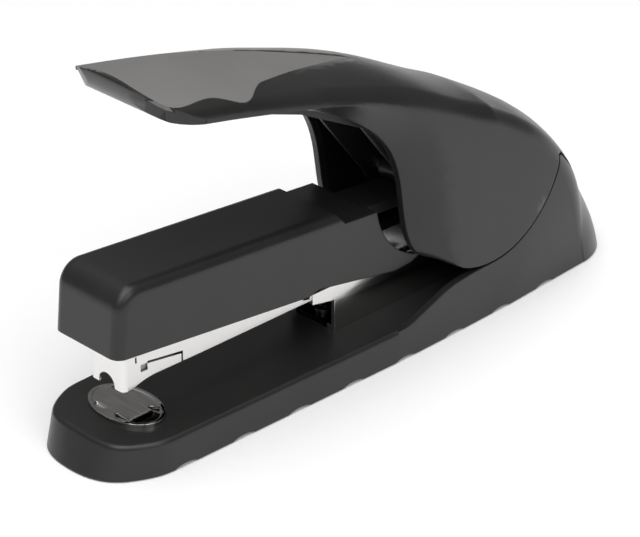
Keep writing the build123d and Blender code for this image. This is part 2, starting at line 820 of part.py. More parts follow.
arm_room_front = driver_front + driver_wall + arm_wall
with BuildPart() as striker_arm:
    with BuildSketch(Plane.XZ):
        Polygon(
            (driver_front + driver_wall + arm_wall, arm_low(driver_front)),
            (driver_front + driver_wall + arm_wall, arm_low(driver_front) - 1.4),
            (driver_front + driver_wall, arm_low(driver_front) - 1.4),
            (driver_front + driver_wall, arm_top(driver_front + driver_wall)),
            (pivot_x - 8.0, arm_top(pivot_x - 8.0)),
            (head_axle_x, head_axle_z + 5.5),
            (head_axle_x, head_axle_z - 5.5),
            (pivot_x - 14.0, arm_low(pivot_x - 14.0)),
            align=None,
        )
        with Locations((head_axle_x, head_axle_z)):
            Circle(5.5)
        with Locations((head_axle_x, head_axle_z)):
            Circle(head_axle_radius + run_gap, mode=Mode.SUBTRACT)
    extrude(amount=arm_half, both=True)
    with BuildSketch(Plane.XZ):
        Polygon(
            (arm_room_front, 0),
            (arm_room_front, arm_top(arm_room_front) - arm_wall),
            (pivot_x - 8.0, arm_top(pivot_x - 8.0) - arm_wall),
            (pivot_x - 8.0, 2 * pivot_z),
            (tail_x, 2 * pivot_z),
            (tail_x, 0),
            align=None,
        )
    extrude(amount=arm_inner, both=True, mode=Mode.SUBTRACT)
    with BuildSketch(Plane.XY.offset(carrier_top)):
        with Locations(*[(x + 0.7, 0) for x in cover_screw_xs]):
            Circle(cover_boss_radius + 2.0)
    extrude(amount=pivot_z, mode=Mode.SUBTRACT)
    with BuildSketch(Plane.YZ.offset(driver_front + driver_wall)):
        with Locations((3.2, rivet_z), (-3.2, rivet_z)):
            Circle(0.8 + fit_gap)
    extrude(amount=2 * arm_wall, mode=Mode.SUBTRACT)
striker_arm.part.label = "striker_arm"
export_step(striker_arm.part, "parts/striker_arm.step")

with BuildPart() as driver_blade:
    with BuildSketch(Plane.YZ.offset(driver_front)):
        Polygon(
            (-tray_inner + 0.45, tray_top + 0.4),
            (tray_inner - 0.45, tray_top + 0.4),
            (tray_inner - 0.45, arm_top(driver_front) - 0.2),
            (-tray_inner + 0.45, arm_top(driver_front) - 0.2),
            align=None,
        )
        with Locations((3.2, rivet_z), (-3.2, rivet_z)):
            Circle(0.8 + fit_gap, mode=Mode.SUBTRACT)
    extrude(amount=driver_wall)
driver_blade.part.label = "driver_blade"
export_step(driver_blade.part, "parts/driver_blade.step")

with BuildPart() as driver_rivets:
    with BuildSketch(Plane.YZ.offset(driver_front)):
        with Locations((3.2, rivet_z), (-3.2, rivet_z)):
            Circle(0.8)
    extrude(amount=driver_wall + arm_wall)
    with BuildSketch(Plane.YZ.offset(driver_front)):
        with Locations((3.2, rivet_z), (-3.2, rivet_z)):
            Circle(1.4)
    extrude(amount=-0.5)
    with BuildSketch(Plane.YZ.offset(driver_front + driver_wall + arm_wall)):
        with Locations((3.2, rivet_z), (-3.2, rivet_z)):
            Circle(1.4)
    extrude(amount=0.5)
driver_rivets.part.label = "driver_rivets"
export_step(driver_rivets.part, "parts/driver_rivets.step")

cover_front = nose_x + 8.5
cover_screw_reach = 6.0
roof_front = (cover_front + 2.3, arm_top(cover_front + 2.3) + 5.4)
roof_step = (pivot_x - 60.5, arm_top(pivot_x - 60.5) + 5.3)
roof_low = (pivot_x - 57.5, arm_top(pivot_x - 57.5) + low_roof_gap + low_roof_wall)
roof_rear = (pivot_x - 43.5, arm_top(pivot_x - 43.5) + low_roof_gap + low_roof_wall)
with BuildPart() as head_cover:
    with BuildSketch(Plane.XZ) as side_view:
        with BuildLine():
            Polyline(
                roof_rear,
                roof_low,
                roof_step,
                roof_front,
                (cover_front, tray_bottom + 14.9),
                (pivot_x - 73.0, tray_bottom + 6.9),
                (pivot_x - 69.0, tray_bottom + 8.0),
                (pivot_x - 35.1, tray_bottom + 2.0),
                (pivot_x - 28.0, tray_bottom + 2.4),
                (pivot_x - 23.7, tray_bottom + 4.2),
            )
            ThreePointArc(
                (pivot_x - 23.7, tray_bottom + 4.2),
                (pivot_x - 39.4, tray_bottom + 15.3),
                roof_rear,
            )
        make_face()
        fillet(side_view.vertices().sort_by(Axis.Y)[-1], radius=8.0)
    extrude(amount=cover_half, both=True)
    shoulder_edges = [
        edge for edge in edges()
        if abs(abs(edge.center().Y) - cover_half) < 0.01 and (
            edge.center().X < cover_front + 8.0 and edge.center().Z > tray_bottom + 16.0
            or edge.center().Z > arm_top(edge.center().X) + 2.0 and edge.center().X < roof_low[0] - 5.0
        )
    ]
    fillet(shoulder_edges, radius=3.5)
    with BuildSketch(Plane.XZ):
        Polygon(
            (cover_front + cover_wall, 0),
            (cover_front + cover_wall, tray_bottom + 14.9),
            (roof_front[0] + cover_wall, roof_front[1] - 4.5),
            (roof_front[0] + 4.5, roof_front[1] - cover_wall - 0.4),
            (roof_step[0] - 0.8, roof_step[1] - cover_wall),
            (roof_low[0] - 0.8, roof_low[1] - low_roof_wall),
            (roof_rear[0] + past, arm_top(roof_rear[0] + past) + low_roof_gap),
            (tail_x, arm_top(roof_rear[0] + past) + low_roof_gap),
            (tail_x, 0),
            align=None,
        )
    extrude(amount=cover_inner, both=True, mode=Mode.SUBTRACT)
    for x in cover_screw_xs:
        with BuildSketch(Plane.XY.offset(carrier_top)):
            with Locations((x, 0)):
                Circle(cover_boss_radius)
        extrude(amount=arm_top(x) + 4.6 - carrier_top)
    with BuildSketch(Plane.XY.offset(carrier_top)):
        with Locations(*[(x, 0) for x in cover_screw_xs]):
            Circle(screw_radius + fit_gap)
    extrude(amount=cover_screw_reach + 1.0, mode=Mode.SUBTRACT)
head_cover.part.label = "head_cover"
export_step(head_cover.part, "parts/head_cover.step")

with BuildPart() as cover_screws:
    with BuildSketch(Plane.XY.offset(carrier_ceiling - fit_gap)):
        with Locations(*[(x, 0) for x in cover_screw_xs]):
            Circle(2.6)
    extrude(amount=-1.0)
    with BuildSketch(Plane.XY.offset(carrier_ceiling - fit_gap)):
        with Locations(*[(x, 0) for x in cover_screw_xs]):
            Circle(screw_radius)
    extrude(amount=fit_gap + carrier_wall + cover_screw_reach)
cover_screws.part.label = "cover_screws"
export_step(cover_screws.part, "parts/cover_screws.step")

with BuildPart() as magazine_carrier:
    with BuildSketch(Plane.XZ):
        Polygon(
            (sleeve_front, carrier_low),
            (sleeve_rear, carrier_low),
            (head_axle_x, head_axle_z - 5.0),
            (head_axle_x, head_axle_z + 5.0),
            (sleeve_rear, carrier_top),
            (sleeve_front, carrier_top),
            align=None,
        )
        with Locations((head_axle_x, head_axle_z)):
            Circle(5.0)
        with Locations((head_axle_x, head_axle_z)):
            Circle(head_axle_radius + run_gap, mode=Mode.SUBTRACT)
    extrude(amount=carrier_half, both=True)
    with BuildSketch(Plane.XZ):
        Polygon(
            (nose_x, 0),
            (nose_x, carrier_ceiling),
            (sleeve_rear, carrier_ceiling),
            (sleeve_rear, 2 * pivot_z),
            (tail_x, 2 * pivot_z),
            (tail_x, 0),
            align=None,
        )
    extrude(amount=carrier_inner, both=True, mode=Mode.SUBTRACT)
    with BuildSketch(Plane.XY.offset(carrier_ceiling)):
        with Locations((sleeve_front, 0)):
            Rectangle(sleeve_front - core_front - 3.0, 2 * core_half, align=(Align.MAX, Align.CENTER))
    extrude(amount=carrier_wall)
    with BuildSketch(Plane.XY.offset(carrier_ceiling)):
        with Locations(*[(x, 0) for x in cover_screw_xs]):
            Circle(screw_radius + fit_gap)
    extrude(amount=carrier_wall, mode=Mode.SUBTRACT)
    with BuildSketch(Plane.XY.offset(carrier_low)):
        with Locations((sleeve_front, carrier_half), (sleeve_front, -carrier_half)):
            Rectangle(2 * (sleeve_rear - sleeve_front), 4.0)
        with Locations((lift_spring_x, 0)):
            Rectangle(14.0, 2 * carrier_half)
        Rectangle(4 * base_length, 2 * carrier_half, mode=Mode.INTERSECT)
        with Locations((sleeve_front, 0)):
            Rectangle(base_length, 2 * base_half, align=(Align.MAX, Align.CENTER), mode=Mode.SUBTRACT)
    extrude(amount=carrier_wall)
    with BuildSketch(Plane.XZ):
        with Locations((sleeve_rear - 4.0, core_low + 2.0), (sleeve_rear - 4.0, core_top - 2.0)):
            Circle(0.9 + fit_gap)
    extrude(amount=base_half, both=True, mode=Mode.SUBTRACT)
magazine_carrier.part.label = "magazine_carrier"
export_step(magazine_carrier.part, "parts/magazine_carrier.step")

with BuildPart() as staple_tray:
    with BuildSketch(Plane.XY.offset(tray_bottom - tray_foot)) as tray_plan:
        with Locations((tray_front, 0)):
            Rectangle(tray_length, 2 * tray_half, align=(Align.MIN, Align.CENTER))
        fillet(tray_plan.vertices().group_by(Axis.X)[0], radius=1.8)
    extrude(amount=tray_height + tray_foot)
    with BuildSketch(Plane.XY.offset(tray_bottom - tray_foot)) as tray_room:
        with Locations((tray_front + tray_wall, 0)):
            Rectangle(tray_length, 2 * tray_inner, align=(Align.MIN, Align.CENTER))
        fillet(tray_room.vertices().group_by(Axis.X)[0], radius=0.9)
    extrude(amount=tray_height + tray_foot, mode=Mode.SUBTRACT)
    with BuildSketch(Plane.XY.offset(tray_bottom)):
        with Locations((tray_rear, 0)):
            Rectangle(10.0, 2 * tray_half, align=(Align.MAX, Align.CENTER))
    extrude(amount=tray_wall)
    with BuildSketch(Plane.XZ):
        with BuildLine():
            ThreePointArc(
                (tray_front + 3.5, tray_bottom - tray_foot),
                (tray_front + 8.2, tray_bottom - 0.3),
                (tray_front + 14.2, tray_bottom + 0.2),
            )
            Polyline(
                (tray_front + 14.2, tray_bottom + 0.2),
                (tray_front + 30.7, tray_bottom),
                (tray_rear + past, tray_bottom),
                (tray_rear + past, tray_bottom - past),
                (tray_front + 3.5, tray_bottom - past),
                (tray_front + 3.5, tray_bottom - tray_foot),
            )
        make_face()
    extrude(amount=base_half, both=True, mode=Mode.SUBTRACT)
    with BuildSketch(Plane.YZ.offset(tray_front - 1)):
        with Locations((0, tray_bottom - tray_foot)):
            SlotOverall(8.4, 7.0, rotation=90)
    extrude(amount=tray_wall + 2, mode=Mode.SUBTRACT)
    with BuildSketch(Plane.XZ):
        with Locations((tray_front + 8.4, tray_bottom + 4.0)):
            Rectangle(2.7, 2.2)
        with Locations((tray_front + 5.3, tray_bottom + 7.6)):
            Rectangle(slit_width, 1.8)
        Polygon(
            (tray_front + 9.7, tray_bottom + 5.6 - slit_width),
            (tray_front + 23.7 - slit_width, tray_bottom + 3.6 - slit_width),
            (tray_front + 23.7 - slit_width, tray_bottom),
            (tray_front + 23.7, tray_bottom),
            (tray_front + 23.7, tray_bottom + 3.6),
            (tray_front + 9.7, tray_bottom + 5.6),
            align=None,
        )
    extrude(amount=base_half, both=True, mode=Mode.SUBTRACT)
staple_tray.part.label = "staple_tray"
export_step(staple_tray.part, "parts/staple_tray.step")

with BuildPart() as staple_core:
    with BuildSketch(Plane.YZ.offset(core_front)):
        Polygon(
            (-core_half, core_low),
            (core_half, core_low),
            (core_half, core_top),
            (-core_half, core_top),
            align=None,
        )
    extrude(amount=sleeve_rear - core_front)
    with BuildSketch(Plane.YZ.offset(core_front + core_wall)):
        Polygon(
            (-core_half + core_wall, core_low - 1),
            (core_half - core_wall, core_low - 1),
            (core_half - core_wall, core_top - core_wall),
            (-core_half + core_wall, core_top - core_wall),
            align=None,
        )
    extrude(amount=base_length, mode=Mode.SUBTRACT)
    with BuildSketch(Plane.XY.offset(core_top)):
        with Locations((core_front + 1.5, 0)):
            Rectangle(block_front - core_front - 2.5, 2.6, align=(Align.MIN, Align.CENTER))
    extrude(amount=-2 * core_wall, mode=Mode.SUBTRACT)
    with BuildSketch(Plane.XY.offset(core_low)):
        with Locations(
            (block_front, carrier_inner / 2 + core_half / 2),
            (block_front, -carrier_inner / 2 - core_half / 2),
        ):
            Rectangle(8.0, carrier_inner - core_half, align=(Align.MIN, Align.CENTER))
    extrude(amount=core_top - core_low)
    with BuildSketch(Plane.XZ):
        with Locations((sleeve_rear - 4.0, core_low + 2.0), (sleeve_rear - 4.0, core_top - 2.0)):
            Circle(0.9 + fit_gap)
    extrude(amount=base_half, both=True, mode=Mode.SUBTRACT)
    with BuildSketch(Plane.YZ.offset(core_front)):
        with Locations((0, rod_z)):
            Circle(rod_radius + fit_gap)
    extrude(amount=2 * core_wall, mode=Mode.SUBTRACT)
staple_core.part.label = "staple_core"
export_step(staple_core.part, "parts/staple_core.step")

with BuildPart() as core_block:
    with BuildSketch(Plane.YZ.offset(block_front)):
        Polygon(
            (-core_half + core_wall, core_low),
            (core_half - core_wall, core_low),
            (core_half - core_wall, core_top - core_wall),
            (-core_half + core_wall, core_top - core_wall),
            align=None,
        )
        with Locations((0, rod_z)):
            Circle(rod_radius + fit_gap, mode=Mode.SUBTRACT)
    extrude(amount=8.0)
    with BuildSketch(Plane.XZ):
        with Locations((sleeve_rear - 4.0, core_low + 2.0), (sleeve_rear - 4.0, core_top - 2.0)):
            Circle(0.9 + fit_gap)
    extrude(amount=base_half, both=True, mode=Mode.SUBTRACT)
core_block.part.label = "core_block"
export_step(core_block.part, "parts/core_block.step")

with BuildPart() as core_rivets:
    with BuildSketch(Plane.XZ):
        with Locations((sleeve_rear - 4.0, core_low + 2.0), (sleeve_rear - 4.0, core_top - 2.0)):
            Circle(0.9)
    extrude(amount=carrier_half, both=True)
core_rivets.part.label = "core_rivets"
export_step(core_rivets.part, "parts/core_rivets.step")

with BuildPart() as pusher_rod:
    with BuildSketch(Plane.YZ.offset(core_front)):
        with Locations((0, rod_z)):
            Circle(rod_radius)
    extrude(amount=block_front + 2.5 - core_front)
pusher_rod.part.label = "pusher_rod"
export_step(pusher_rod.part, "parts/pusher_rod.step")

pusher_front = core_front + core_wall + 0.6
pusher_rear = pusher_front + 14.0
saddle_inner = core_half + 0.3
with BuildPart() as pusher:
    with BuildSketch(Plane.YZ.offset(pusher_front)):
        Polygon(
            (-saddle_inner - 0.4, core_low + 0.8),
            (saddle_inner + 0.4, core_low + 0.8),
            (saddle_inner + 0.4, tray_top),
            (-saddle_inner - 0.4, tray_top),
            align=None,
        )
    extrude(amount=16.0)
    with BuildSketch(Plane.YZ.offset(pusher_front)):
        Polygon(
            (-saddle_inner, core_low),
            (saddle_inner, core_low),
            (saddle_inner, core_top + 0.4),
            (-saddle_inner, core_top + 0.4),
            align=None,
        )
    extrude(amount=16.0, mode=Mode.SUBTRACT)
    with BuildSketch(Plane.YZ.offset(pusher_front + 2.0)):
        Polygon(
            (-0.95, rod_z),
            (0.95, rod_z),
            (0.95, core_top + 0.6),
            (-0.95, core_top + 0.6),
            align=None,
        )
        with Locations((0, rod_z)):
            Circle(3.0)
            Circle(rod_radius + 0.1, mode=Mode.SUBTRACT)
    extrude(amount=12.0)
pusher.part.label = "pusher"
export_step(pusher.part, "parts/pusher.step")


def coil(plane, radius, height, turns):
    """Centre line of a coil rising along a plane's normal, as quarter-turn arcs that stay tangent."""
    steps = int(round(4 * turns))
    slope = height / (2 * math.pi * radius * turns)

    def point(k):
        angle = k * math.pi / 2
        local = (radius * math.cos(angle), radius * math.sin(angle), height * k / steps)
        return plane.from_local_coords(Vector(*local))

    def heading(k):
        angle = k * math.pi / 2
        local = Vector(-math.sin(angle), math.cos(angle), slope).normalized()
        return plane.from_local_coords(local) - plane.origin

    with BuildLine() as line:
        for k in range(steps):
            start, end = point(k), point(k + 1)
            t0, t1 = heading(k), heading(k + 1)
            gap, both = end - start, t0 + t1
            a = 2 * (1 - t0.dot(t1))
            b = 2 * gap.dot(both)
            reach = (-b + math.sqrt(b * b + 4 * a * gap.dot(gap))) / (2 * a)
            meet = (start + t0 * reach + end - t1 * reach) * 0.5
            first = TangentArc(start, meet, tangent=t0)
            TangentArc(meet, end, tangent=first % 1)
    return line.wire(), point(0), heading(0)


def print_coil_gap(name, wire, thickness):
    """Print the least clear distance between one turn of a coil and the next."""
    spots = [wire @ (k / 400) for k in range(401)]
    least = min(
        (spots[i] - spots[j]).length
        for i in range(401)
        for j in range(i + 1, 401)
        if (j - i) / 400 * wire.length > 4 * thickness
    )
    print(name, "least gap to itself", round(least - thickness, 3))


lift_wire = 1.0
lift_path, lift_start, lift_heading = coil(
    Plane((lift_spring_x, 0, frame_floor + lift_wire / 2 + 0.03)),
    4.0,
    carrier_low - frame_floor - lift_wire - 0.06,
    4,
)
with BuildPart() as lift_spring:
    with BuildSketch(Plane(origin=lift_start, z_dir=lift_heading)):
        Circle(lift_wire / 2)
    sweep(path=lift_path)
lift_spring.part.label = "lift_spring"
export_step(lift_spring.part, "parts/lift_spring.step")
print_coil_gap("lift_spring", lift_path, lift_wire)

striker_wire = 0.9
striker_rise = arm_top(striker_spring_x + 3.6) - arm_wall - carrier_top
striker_path, striker_start, striker_heading = coil(
    Plane((striker_spring_x, 0, carrier_top + striker_wire / 2 + 0.03)),
    3.6,
    striker_rise - striker_wire - 0.1,
    4,
)
with BuildPart() as striker_spring:
    with BuildSketch(Plane(origin=striker_start, z_dir=striker_heading)):
        Circle(striker_wire / 2)
    sweep(path=striker_path)
striker_spring.part.label = "striker_spring"
export_step(striker_spring.part, "parts/striker_spring.step")
print_coil_gap("striker_spring", striker_path, striker_wire)

pusher_wire = 0.5
pusher_path, pusher_start, pusher_heading = coil(
    Plane((pusher_rear + 0.05 + pusher_wire / 2, 0, rod_z), x_dir=(0, 1, 0), z_dir=(1, 0, 0)),
    2.3,
    block_front - pusher_rear - 0.1 - pusher_wire,
    28,
)
with BuildPart() as pusher_spring:
    with BuildSketch(Plane(origin=pusher_start, z_dir=pusher_heading)):
        Circle(pusher_wire / 2)
    sweep(path=pusher_path)
pusher_spring.part.label = "pusher_spring"
export_step(pusher_spring.part, "parts/pusher_spring.step")
print_coil_gap("pusher_spring", pusher_path, pusher_wire)
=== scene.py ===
"""Looks of the desktop stapler: its finishes, its fine pieces, the studio and the camera. Metres."""

import json
import math

import bpy
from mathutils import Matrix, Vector


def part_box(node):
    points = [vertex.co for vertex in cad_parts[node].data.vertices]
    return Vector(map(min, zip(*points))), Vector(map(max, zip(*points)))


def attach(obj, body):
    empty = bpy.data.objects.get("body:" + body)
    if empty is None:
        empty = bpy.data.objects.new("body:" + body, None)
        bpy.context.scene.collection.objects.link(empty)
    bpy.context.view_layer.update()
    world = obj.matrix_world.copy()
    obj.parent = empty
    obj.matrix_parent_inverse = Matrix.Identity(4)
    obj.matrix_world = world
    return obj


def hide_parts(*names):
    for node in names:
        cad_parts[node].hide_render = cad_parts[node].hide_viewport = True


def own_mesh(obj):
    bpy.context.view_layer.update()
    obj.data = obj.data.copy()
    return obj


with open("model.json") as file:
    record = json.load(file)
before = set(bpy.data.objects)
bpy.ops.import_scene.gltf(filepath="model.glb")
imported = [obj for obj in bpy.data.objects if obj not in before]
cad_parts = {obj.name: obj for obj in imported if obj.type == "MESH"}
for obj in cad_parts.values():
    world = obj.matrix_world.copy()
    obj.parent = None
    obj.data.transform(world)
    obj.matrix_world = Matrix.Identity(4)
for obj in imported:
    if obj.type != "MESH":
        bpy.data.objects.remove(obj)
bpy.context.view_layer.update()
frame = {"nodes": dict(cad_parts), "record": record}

# Camera of the photograph
IMAGE_WIDTH = 640
FOCAL_PIXELS = 2646.852
SENSOR_WIDTH = 36.0
VIEW_AZIMUTH = math.radians(-44.404)
VIEW_ELEVATION = math.radians(28.05)
VIEW_DISTANCE = 0.811984
VIEW_TARGET = Vector((-0.025412, -0.015468, 0.040))
NEAR_LIMIT = 0.01
FAR_LIMIT = 20.0

# Anvil, with each pair of grooves by its place from the middle and its bend
ANVIL_WALL = 0.0013
ANVIL_RIM = 0.0011
ANVIL_SINK = 0.0002
ANVIL_CORNER = math.radians(50.0)
GROOVE_HALF_SIZE = (0.0031, 0.0012, 0.0007)
GROOVE_RISE = 0.0001
GROOVES = {(-0.0062, 0.0047): math.radians(50.0), (0.0045, 0.0084): math.radians(-50.0)}

# Sole: grooves across it, one to a step, with plain steps left at its ends
TREAD_STEP = 0.006
TREAD_SIZE = (0.0016, 0.034, 0.0012)
FIRST_TREAD_STEPS = 2.5
PLAIN_STEPS = 4.0

# Edges and shading of the fine pieces
EDGE_ROUND = 0.00035
SOFT_LINE = math.radians(35.0)
HANDLE_SOFT_LINE = math.radians(19.0)
LARGE_FACES_FIRST = 100
MERGE_DISTANCE = 0.000001

# Painted shade inside the magazine: half its width, and where it starts behind the nose
SHADE_INSIDE_HALF = 0.00705
SHADE_INSIDE_FRONT = -0.0974

# Springs: node, body, the joint that presses it, its axis, its fixed end, the share of its length left
UP = (0, 0, 1)
ALONG = (1, 0, 0)
COILS = {
    "lift_coil": ("lift_spring", "base", "magazine_hinge", UP, (0.005, 0.0, 0.0130), 0.60),
    "striker_coil": ("striker_spring", "magazine", "striker_hinge", UP, (-0.030, 0.0, 0.0381), 0.28),
    "pusher_coil": ("pusher_spring", "magazine", "pusher_slide", ALONG, (0.016, 0.0, 0.029), 0.06),
}

# Floor, and the height of a direction under which the metal mirrors white ground
FLOOR_RADIUS = 0.45
FLOOR_GLOW = 0.13
GROUND_EDGE = -0.06

# Room: its grey levels by height, and by depth for its paler back
ROOM_LEVELS = ((0.0, 0.06), (0.12, 0.08), (0.25, 0.10), (0.55, 0.12), (1.0, 0.7))
BACK_LEVELS = ((0.25, 0.0), (0.6, 1.0))
BACK_GLOW = 0.06

# Lamps: place, width and watts
LAMPS = {
    "top_lamp": ((-0.15, -0.12, 1.6), 1.4, 14.0),
    "key_lamp": ((-1.1, -0.5, 1.3), 1.1, 8.0),
    "front_lamp": ((-0.3, -1.5, 1.1), 1.1, 7.0),
}


class Wire:
    """A shader socket that works with Python's arithmetic: each operator adds a Math node."""

    def __init__(self, tree, socket):
        self.tree = tree
        self.socket = socket

    def math(self, operation, *values):
        """A Math node's result for some values."""
        inputs = {index: value for index, value in enumerate(values)}
        return self.tree.node("ShaderNodeMath", {"operation": operation}, inputs, 0)

    def __add__(self, other):
        return self.math("ADD", self, other)

    def __radd__(self, other):
        return self.math("ADD", other, self)

    def __mul__(self, other):
        return self.math("MULTIPLY", self, other)

    def __rmul__(self, other):
        return self.math("MULTIPLY", other, self)

    def under(self, limit):
        """1 where the value is under a limit, else 0."""
        return self.math("LESS_THAN", self, limit)

    def over(self, limit):
        """1 where the value is over a limit, else 0."""
        return self.math("GREATER_THAN", self, limit)

    def unsigned(self):
        """The value without its sign."""
        return self.math("ABSOLUTE", self)

    def clamped(self):
        """The value kept between 0 and 1."""
        return self.math("MINIMUM", self.math("MAXIMUM", self, 0.0), 1.0)


class Tree:
    """The node tree of one material or world."""

    def __init__(self, owner):
        owner.use_nodes = True
        self.owner = owner
        self.nodes = owner.node_tree.nodes
        self.links = owner.node_tree.links
        self.nodes.clear()

    def node(self, kind, settings, inputs, output):
        """Add a node of a kind, with its settings first, then its sockets, and give one output."""
        made = self.nodes.new(kind)
        for name, value in settings.items():
            if name == "stops":
                self.set_stops(made.color_ramp, value)
            else:
                setattr(made, name, value)
        for name, value in inputs.items():
            if isinstance(value, Wire):
                self.links.new(value.socket, made.inputs[name])
            else:
                made.inputs[name].default_value = value
        return Wire(self, made.outputs[output]) if output is not None else made

    def set_stops(self, ramp, stops):
        """Give a colour ramp its stops: place and grey level."""
        while len(ramp.elements) < len(stops):
            ramp.elements.new(0.5)
        for element, (place, level) in zip(ramp.elements, stops):
            element.position = place
            element.color = (level, level, level, 1.0)

    def noise(self, where, scale, detail):
        """A cloudy value between 0 and 1."""
        settings = {"noise_dimensions": "3D"}
        inputs = {"Scale": scale, "Detail": detail, "Vector": where}
        return self.node("ShaderNodeTexNoise", settings, inputs, "Fac")

    def ramp(self, value, stops):
        """A grey that follows a value from stop to stop."""
        return self.node("ShaderNodeValToRGB", {"stops": stops}, {"Fac": value}, "Color")

    def mix(self, amount, first, second):
        """A colour between two colours."""
        inputs = {"Factor": amount, 6: first, 7: second}
        return self.node("ShaderNodeMix", {"data_type": "RGBA"}, inputs, 2)

    def fade(self, value, low, high, first, second):
        """A colour that goes from the first to the second as a value goes from low to high."""
        return self.mix(self.ramp(value, ((low, 0.0), (high, 1.0))), first, second)

    def place(self, stretch=(1.0, 1.0, 1.0)):
        """Object coordinates, stretched along the three axes."""
        where = self.node("ShaderNodeTexCoord", {}, {}, "Object")
        return self.node("ShaderNodeMapping", {}, {"Vector": where, "Scale": stretch}, "Vector")

    def coordinate(self, vector, axis):
        """A vector's part along one axis."""
        return self.node("ShaderNodeSeparateXYZ", {}, {"Vector": vector}, axis)

    def ray_kinds(self):
        """Marks for the rays that the camera sends, that are mirrored and that pass through."""
        path = self.node("ShaderNodeLightPath", {}, {}, None)
        names = ("Is Camera Ray", "Is Glossy Ray", "Is Transmission Ray")
        return [Wire(self, path.outputs[name]) for name in names]

    def soft_edges(self, radius):
        """The surface's normal with its sharp edges rounded to a radius."""
        return self.node("ShaderNodeBevel", {"samples": 6}, {"Radius": radius}, "Normal")

    def relief(self, height, depth, edge):
        """The normal of a fine relief of a depth, on a surface with rounded edges."""
        normal = self.soft_edges(edge)
        inputs = {"Strength": 1.0, "Distance": depth, "Height": height, "Normal": normal}
        return self.node("ShaderNodeBump", {}, inputs, "Normal")

    def surface(self, **sockets):
        """Finish the material with a Principled shader, its sockets named with _ for a space."""
        inputs = {name.replace("_", " "): value for name, value in sockets.items()}
        shader = self.node("ShaderNodeBsdfPrincipled", {}, inputs, "BSDF")
        self.node("ShaderNodeOutputMaterial", {}, {"Surface": shader}, None)
        return self.owner


def new_tree(name):
    """The empty tree of a new material."""
    return Tree(bpy.data.materials.new(name))


def grey(level, warmth=0.0):
    """A grey of a linear level, warmer by a share of it."""
    return (level * (1.0 + warmth), level, level * (1.0 - warmth), 1.0)


def satin_black_plastic():
    """The mouldings: a fine grain, with the gloss a little uneven."""
    tree = new_tree("satin_black_plastic")
    where = tree.place()
    grain = tree.noise(where, scale=5200.0, detail=2.0)
    cloud = tree.noise(where, scale=38.0, detail=3.0)
    speck = tree.noise(where, scale=900.0, detail=2.0)
    colour = tree.fade(cloud, 0.3, 0.7, grey(0.0190, 0.02), grey(0.0240, 0.02))
    rough = 0.24 + 0.07 * cloud + 0.05 * speck
    normal = tree.relief(grain, depth=0.00002, edge=0.0006)
    return tree.surface(Base_Color=colour, Roughness=rough, Normal=normal, Specular_IOR_Level=0.40)


def matt_grey_grip():
    """The grip insert: a soft-touch grey with an even matt grain."""
    tree = new_tree("matt_grey_grip")
    where = tree.place()
    grain = tree.noise(where, scale=2600.0, detail=3.0)
    cloud = tree.noise(where, scale=22.0, detail=3.0)
    colour = tree.fade(cloud, 0.3, 0.7, grey(0.164, 0.02), grey(0.190, 0.02))
    rough = 0.60 + 0.14 * grain
    normal = tree.relief(grain, depth=0.00005, edge=0.0005)
    return tree.surface(Base_Color=colour, Roughness=rough, Normal=normal, Specular_IOR_Level=0.35)


def matt_sole_rubber():
    """The sole: black rubber, paler where dust clings to it."""
    tree = new_tree("matt_sole_rubber")
    where = tree.place()
    grain = tree.noise(where, scale=1500.0, detail=4.0)
    dust = tree.noise(where, scale=60.0, detail=4.0)
    colour = tree.fade(dust, 0.45, 0.75, grey(0.018), grey(0.035, 0.05))
    normal = tree.relief(grain, depth=0.0001, edge=0.0005)
    return tree.surface(Base_Color=colour, Roughness=0.75 + 0.15 * dust, Normal=normal)


def rolled_steel(name, level, warmth, rough_low, rough_range, shaded_inside=False):
    """Steel with rolling streaks along the stapler, and, when asked for, a dark colour inside the
    magazine as painted shade.
    """
    tree = new_tree(name)
    where = tree.place()
    streak = tree.noise(tree.place((0.04, 1.0, 1.0)), scale=900.0, detail=3.0)
    cloud = tree.noise(where, scale=70.0, detail=4.0)
    colour = tree.mix(streak, grey(0.92 * level, warmth), grey(level, warmth))
    if shaded_inside:
        # painted shade: the inside of the magazine, behind its nose, is coloured dark
        inside = tree.coordinate(where, "Y").unsigned().under(SHADE_INSIDE_HALF)
        behind_nose = tree.coordinate(where, "X").over(SHADE_INSIDE_FRONT)
        colour = tree.mix(inside * behind_nose, colour, grey(0.03, 0.05))
    rough = rough_low + rough_range * streak + 0.08 * cloud
    normal = tree.relief(streak, depth=0.00001, edge=0.0003)
    return tree.surface(Base_Color=colour, Metallic=1.0, Roughness=rough, Normal=normal)


def polished_chrome():
    """The anvil and its ring: bright chrome with fine scuffs across the stapler."""
    tree = new_tree("polished_chrome")
    scuff = tree.noise(tree.place((1.0, 0.15, 1.0)), scale=700.0, detail=4.0)
    cloud = tree.noise(tree.place(), scale=120.0, detail=4.0)
    colour = tree.fade(scuff, 0.35, 0.75, grey(0.50, 0.02), grey(0.64, 0.02))
    normal = tree.relief(scuff, depth=0.00002, edge=0.0004)
    return tree.surface(Base_Color=colour, Metallic=1.0, Roughness=0.03 + 0.05 * cloud, Normal=normal)


def black_steel_and_painted_shade():
    """The lever, the striker arm, the core and the handle's axle: black paint with an orange peel, kept
    near black also as painted shade for the shaded inside of the handle and magazine.
    """
    tree = new_tree("black_steel_and_painted_shade")
    where = tree.place()
    orange_peel = tree.noise(where, scale=1400.0, detail=2.0)
    cloud = tree.noise(where, scale=50.0, detail=3.0)
    # near black: black paint, and painted shade for the shaded inside of the handle and magazine
    colour = tree.mix(cloud, grey(0.014), grey(0.024))
    normal = tree.relief(orange_peel, depth=0.00004, edge=0.0004)
    return tree.surface(Base_Color=colour, Roughness=0.42 + 0.12 * cloud, Normal=normal)


